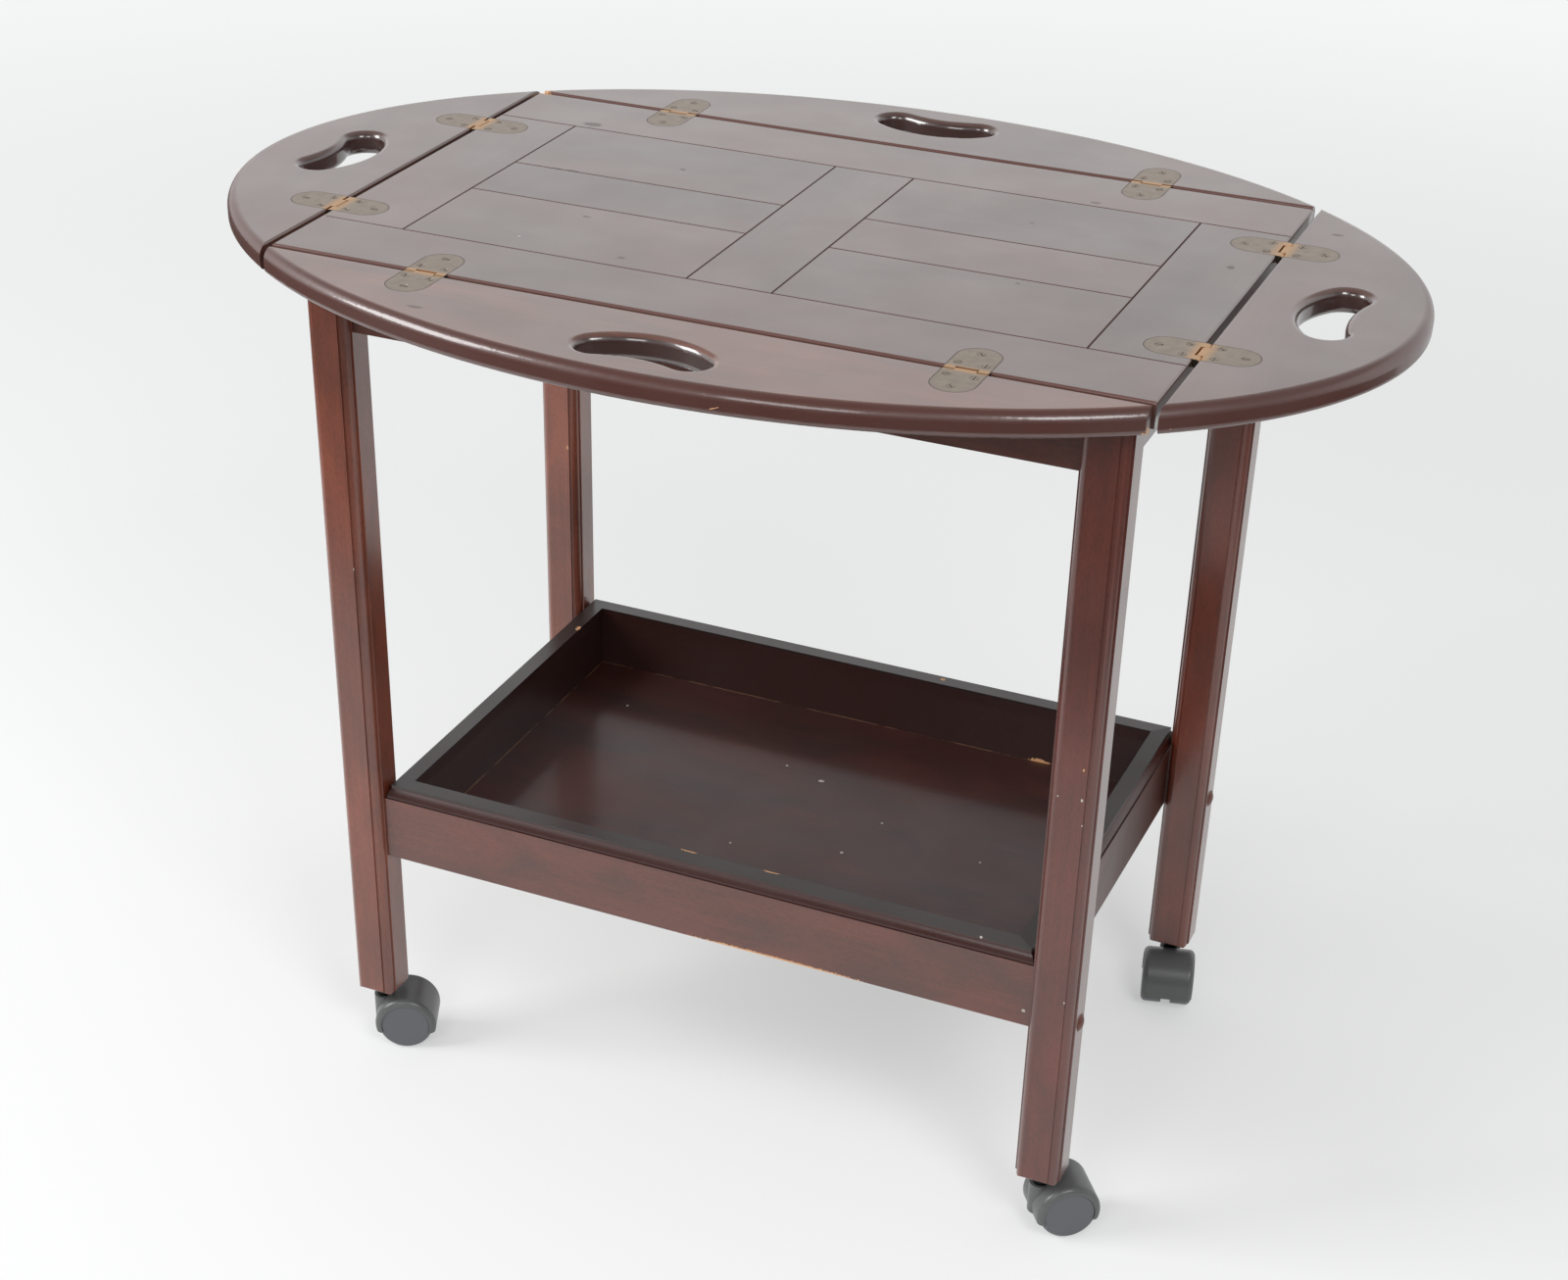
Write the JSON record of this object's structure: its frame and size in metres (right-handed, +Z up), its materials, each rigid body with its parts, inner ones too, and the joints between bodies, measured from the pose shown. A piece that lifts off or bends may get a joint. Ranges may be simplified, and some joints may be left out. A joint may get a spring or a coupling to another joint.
{
  "type": "drop leaf tea trolley",
  "caption": "Oval tea trolley: grooved centre panel with hinged leaves that fold up and have hand-holes, on a moulded leg frame with a low tray and swivel castors.",
  "frame": {"origin": "on the floor, under the centre of the oval top", "axes": "+X along the long axis of the oval top, +Y towards the back, +Z up"},
  "size_m": [0.806, 0.553, 0.624],
  "materials": {
    "top_lacquer": "mahogany-stained wood, satin lacquer",
    "frame_lacquer": "mahogany-stained wood, satin lacquer",
    "tray_lacquer": "mahogany-stained wood, satin lacquer",
    "plain_beech": "unfinished beech",
    "aged_brass": "dull patina, worn bright on the knuckles",
    "brass_screw": "dull patina",
    "plated_steel": "zinc plated",
    "black_steel": "black oxide",
    "black_nylon": "moulded nylon, scuffed",
    "brown_plastic": "moulded, glossy"
  },
  "bodies": {
    "frame": {"top_panel": "top_lacquer", "leg_front_left": "frame_lacquer", "leg_front_right": "frame_lacquer", "leg_back_left": "frame_lacquer", "leg_back_right": "frame_lacquer", "apron_right": "frame_lacquer", "apron_back": "frame_lacquer", "apron_left": "frame_lacquer", "apron_front": "frame_lacquer", "tray_wall_right": "tray_lacquer", "tray_wall_back": "tray_lacquer", "tray_wall_left": "tray_lacquer", "tray_wall_front": "tray_lacquer", "tray_floor": "tray_lacquer", "corner_blocks": "plain_beech", "apron_dowels": "plain_beech", "corner_block_screws": "plated_steel", "top_screws": "plated_steel", "tray_screws": "plated_steel", "tray_screw_caps": "brown_plastic", "panel_hinge_plates_right": "aged_brass", "panel_hinge_plates_back": "aged_brass", "panel_hinge_plates_left": "aged_brass", "panel_hinge_plates_front": "aged_brass", "hinge_pins": "plated_steel", "panel_hinge_screws": "brass_screw", "castor_sockets": "plated_steel"},
    "right_leaf": {"leaf_right": "top_lacquer", "leaf_hinge_plates_right": "aged_brass", "leaf_hinge_screws_right": "brass_screw"},
    "back_leaf": {"leaf_back": "top_lacquer", "leaf_hinge_plates_back": "aged_brass", "leaf_hinge_screws_back": "brass_screw"},
    "left_leaf": {"leaf_left": "top_lacquer", "leaf_hinge_plates_left": "aged_brass", "leaf_hinge_screws_left": "brass_screw"},
    "front_leaf": {"leaf_front": "top_lacquer", "leaf_hinge_plates_front": "aged_brass", "leaf_hinge_screws_front": "brass_screw"},
    "castor_front_left": {"castor_front_left_stem": "black_steel", "castor_front_left_hood": "black_nylon", "castor_front_left_axle": "plated_steel"},
    "wheel_front_left_near": {"castor_front_left_wheel_near": "black_nylon"},
    "wheel_front_left_far": {"castor_front_left_wheel_far": "black_nylon"},
    "castor_front_right": {"castor_front_right_stem": "black_steel", "castor_front_right_hood": "black_nylon", "castor_front_right_axle": "plated_steel"},
    "wheel_front_right_near": {"castor_front_right_wheel_near": "black_nylon"},
    "wheel_front_right_far": {"castor_front_right_wheel_far": "black_nylon"},
    "castor_back_left": {"castor_back_left_stem": "black_steel", "castor_back_left_hood": "black_nylon", "castor_back_left_axle": "plated_steel"},
    "wheel_back_left_near": {"castor_back_left_wheel_near": "black_nylon"},
    "wheel_back_left_far": {"castor_back_left_wheel_far": "black_nylon"},
    "castor_back_right": {"castor_back_right_stem": "black_steel", "castor_back_right_hood": "black_nylon", "castor_back_right_axle": "plated_steel"},
    "wheel_back_right_near": {"castor_back_right_wheel_near": "black_nylon"},
    "wheel_back_right_far": {"castor_back_right_wheel_far": "black_nylon"}
  },
  "joints": [
    {"name": "right_leaf_fold", "type": "hinge", "parent": "frame", "child": "right_leaf", "pos_m": [0.291, 0, 0.6214], "axis": [0, -1, 0], "range_deg": [0, 90]},
    {"name": "back_leaf_fold", "type": "hinge", "parent": "frame", "child": "back_leaf", "pos_m": [0, 0.183, 0.6214], "axis": [1, 0, 0], "range_deg": [0, 90]},
    {"name": "left_leaf_fold", "type": "hinge", "parent": "frame", "child": "left_leaf", "pos_m": [-0.291, 0, 0.6214], "axis": [0, 1, 0], "range_deg": [0, 90]},
    {"name": "front_leaf_fold", "type": "hinge", "parent": "frame", "child": "front_leaf", "pos_m": [0, -0.183, 0.6214], "axis": [-1, 0, 0], "range_deg": [0, 90]},
    {"name": "front_left_castor_swivel", "type": "hinge", "parent": "frame", "child": "castor_front_left", "pos_m": [-0.2595, -0.157, 0.05], "axis": [0, 0, 1], "continuous": true},
    {"name": "front_left_near_wheel_spin", "type": "hinge", "parent": "castor_front_left", "child": "wheel_front_left_near", "pos_m": [-0.24443, -0.15029, 0.02], "axis": [-0.4067, 0.9135, 0], "continuous": true},
    {"name": "front_left_far_wheel_spin", "type": "hinge", "parent": "castor_front_left", "child": "wheel_front_left_far", "pos_m": [-0.24443, -0.15029, 0.02], "axis": [-0.4067, 0.9135, 0], "continuous": true},
    {"name": "front_right_castor_swivel", "type": "hinge", "parent": "frame", "child": "castor_front_right", "pos_m": [0.2595, -0.157, 0.05], "axis": [0, 0, 1], "continuous": true},
    {"name": "front_right_near_wheel_spin", "type": "hinge", "parent": "castor_front_right", "child": "wheel_front_right_near", "pos_m": [0.27285, -0.1473, 0.02], "axis": [-0.5878, 0.809, 0], "continuous": true},
    {"name": "front_right_far_wheel_spin", "type": "hinge", "parent": "castor_front_right", "child": "wheel_front_right_far", "pos_m": [0.27285, -0.1473, 0.02], "axis": [-0.5878, 0.809, 0], "continuous": true},
    {"name": "back_left_castor_swivel", "type": "hinge", "parent": "frame", "child": "castor_back_left", "pos_m": [-0.2595, 0.157, 0.05], "axis": [0, 0, 1], "continuous": true},
    {"name": "back_left_near_wheel_spin", "type": "hinge", "parent": "castor_back_left", "child": "wheel_back_left_near", "pos_m": [-0.24356, 0.16127, 0.02], "axis": [-0.2588, 0.9659, 0], "continuous": true},
    {"name": "back_left_far_wheel_spin", "type": "hinge", "parent": "castor_back_left", "child": "wheel_back_left_far", "pos_m": [-0.24356, 0.16127, 0.02], "axis": [-0.2588, 0.9659, 0], "continuous": true},
    {"name": "back_right_castor_swivel", "type": "hinge", "parent": "frame", "child": "castor_back_right", "pos_m": [0.2595, 0.157, 0.05], "axis": [0, 0, 1], "continuous": true},
    {"name": "back_right_near_wheel_spin", "type": "hinge", "parent": "castor_back_right", "child": "wheel_back_right_near", "pos_m": [0.26377, 0.14106, 0.02], "axis": [0.9659, 0.2588, 0], "continuous": true},
    {"name": "back_right_far_wheel_spin", "type": "hinge", "parent": "castor_back_right", "child": "wheel_back_right_far", "pos_m": [0.26377, 0.14106, 0.02], "axis": [0.9659, 0.2588, 0], "continuous": true}
  ]
}
